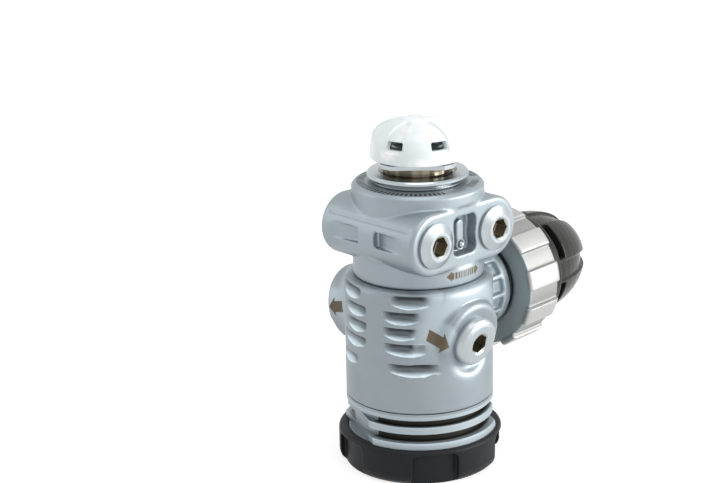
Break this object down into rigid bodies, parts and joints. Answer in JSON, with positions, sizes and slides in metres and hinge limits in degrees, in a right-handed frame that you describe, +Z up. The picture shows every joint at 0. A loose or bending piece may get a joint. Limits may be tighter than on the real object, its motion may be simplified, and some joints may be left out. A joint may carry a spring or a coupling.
{
  "type": "diving regulator first stage",
  "caption": "Balanced-diaphragm diving regulator first stage with a swivelling outlet turret, plugged side ports and a handwheel cylinder connector under a dust cap.",
  "frame": {"origin": "centre of the underside of the rubber base cover, on the body's axis", "axes": "+Z up along the body's axis, +X along the cylinder connector's axis, +Y to the left high pressure port's side"},
  "size_m": [0.1024, 0.0592, 0.1102],
  "materials": {
    "satin_metal": "satin pearl plating",
    "bright_metal": "smooth bright plating",
    "black_rubber": "moulded, dull",
    "seal_rubber": "smooth",
    "diaphragm_rubber": "smooth",
    "black_plastic": "moulded, half gloss",
    "white_plastic": "moulded, slightly cloudy",
    "grey_plastic": "moulded",
    "spring_steel": "drawn wire",
    "brass": "turned",
    "bronze": "sintered"
  },
  "bodies": {
    "first_stage": {"main_body": "satin_metal", "end_cap": "satin_metal", "base_cover": "black_rubber", "environmental_diaphragm": "diaphragm_rubber", "diaphragm_clamp": "bright_metal", "spring_adjuster": "brass", "main_spring": "spring_steel", "main_diaphragm": "diaphragm_rubber", "valve_seat": "brass", "valve_spring": "spring_steel", "valve_guide": "brass", "turret_bolt": "bright_metal", "turret_seals": "seal_rubber", "mp_port_plug": "bright_metal", "mp_port_seal": "seal_rubber", "din_bolt": "bright_metal", "din_bolt_seal": "seal_rubber", "din_face_seal": "seal_rubber", "din_filter": "bronze", "filter_clip": "spring_steel"},
    "turret": {"turret": "satin_metal", "passage_balls": "bright_metal"},
    "handwheel": {"handwheel": "satin_metal", "din_coupling": "bright_metal"},
    "din_dust_cap": {"din_dust_cap": "black_plastic"},
    "turret_dust_cap": {"turret_dust_cap": "white_plastic"},
    "valve_train": {"spring_carrier": "brass", "load_transmitter": "grey_plastic", "valve_lifter": "bright_metal", "inlet_valve": "bright_metal"},
    "lp_plug_1": {"lp_plug_1": "bright_metal", "lp_seal_1": "seal_rubber"},
    "lp_plug_2": {"lp_plug_2": "bright_metal", "lp_seal_2": "seal_rubber"},
    "lp_plug_3": {"lp_plug_3": "bright_metal", "lp_seal_3": "seal_rubber"},
    "lp_plug_4": {"lp_plug_4": "bright_metal", "lp_seal_4": "seal_rubber"},
    "side_plug_right": {"side_plug_right": "bright_metal", "side_seal_right": "seal_rubber"},
    "side_plug_left": {"side_plug_left": "bright_metal", "side_seal_left": "seal_rubber"}
  },
  "joints": [
    {"name": "turret_swivel", "type": "hinge", "parent": "first_stage", "child": "turret", "pos_m": [0, 0, 0.0762], "axis": [0, 0, 1], "continuous": true},
    {"name": "handwheel_spin", "type": "hinge", "parent": "first_stage", "child": "handwheel", "pos_m": [0.037, 0, 0.0501], "axis": [1, 0, 0], "continuous": true},
    {"name": "din_cap_pull", "type": "slide", "parent": "handwheel", "child": "din_dust_cap", "axis": [1, 0, 0], "range_m": [0, 0.03]},
    {"name": "turret_cap_lift", "type": "slide", "parent": "first_stage", "child": "turret_dust_cap", "axis": [0, 0, 1], "range_m": [0, 0.02]},
    {"name": "valve_travel", "type": "slide", "parent": "first_stage", "child": "valve_train", "axis": [0, 0, 1], "range_m": [-0.0007, 0], "stiffness_N_per_m": 2000, "springref_m": 0.001, "deforming": ["main_spring", "valve_spring", "main_diaphragm", "environmental_diaphragm"]},
    {"name": "lp_plug_1_out", "type": "slide", "parent": "turret", "child": "lp_plug_1", "axis": [-0.0715, -0.9974, 0], "range_m": [0, 0.012]},
    {"name": "lp_plug_2_out", "type": "slide", "parent": "turret", "child": "lp_plug_2", "axis": [-0.0715, -0.9974, 0], "range_m": [0, 0.012]},
    {"name": "lp_plug_3_out", "type": "slide", "parent": "turret", "child": "lp_plug_3", "axis": [0.0715, 0.9974, 0], "range_m": [0, 0.012]},
    {"name": "lp_plug_4_out", "type": "slide", "parent": "turret", "child": "lp_plug_4", "axis": [0.0715, 0.9974, 0], "range_m": [0, 0.012]},
    {"name": "side_plug_right_out", "type": "slide", "parent": "first_stage", "child": "side_plug_right", "axis": [-0.0682, -0.9758, -0.2079], "range_m": [0, 0.013]},
    {"name": "side_plug_left_out", "type": "slide", "parent": "first_stage", "child": "side_plug_left", "axis": [-0.0341, 0.9776, -0.2079], "range_m": [0, 0.013]}
  ]
}
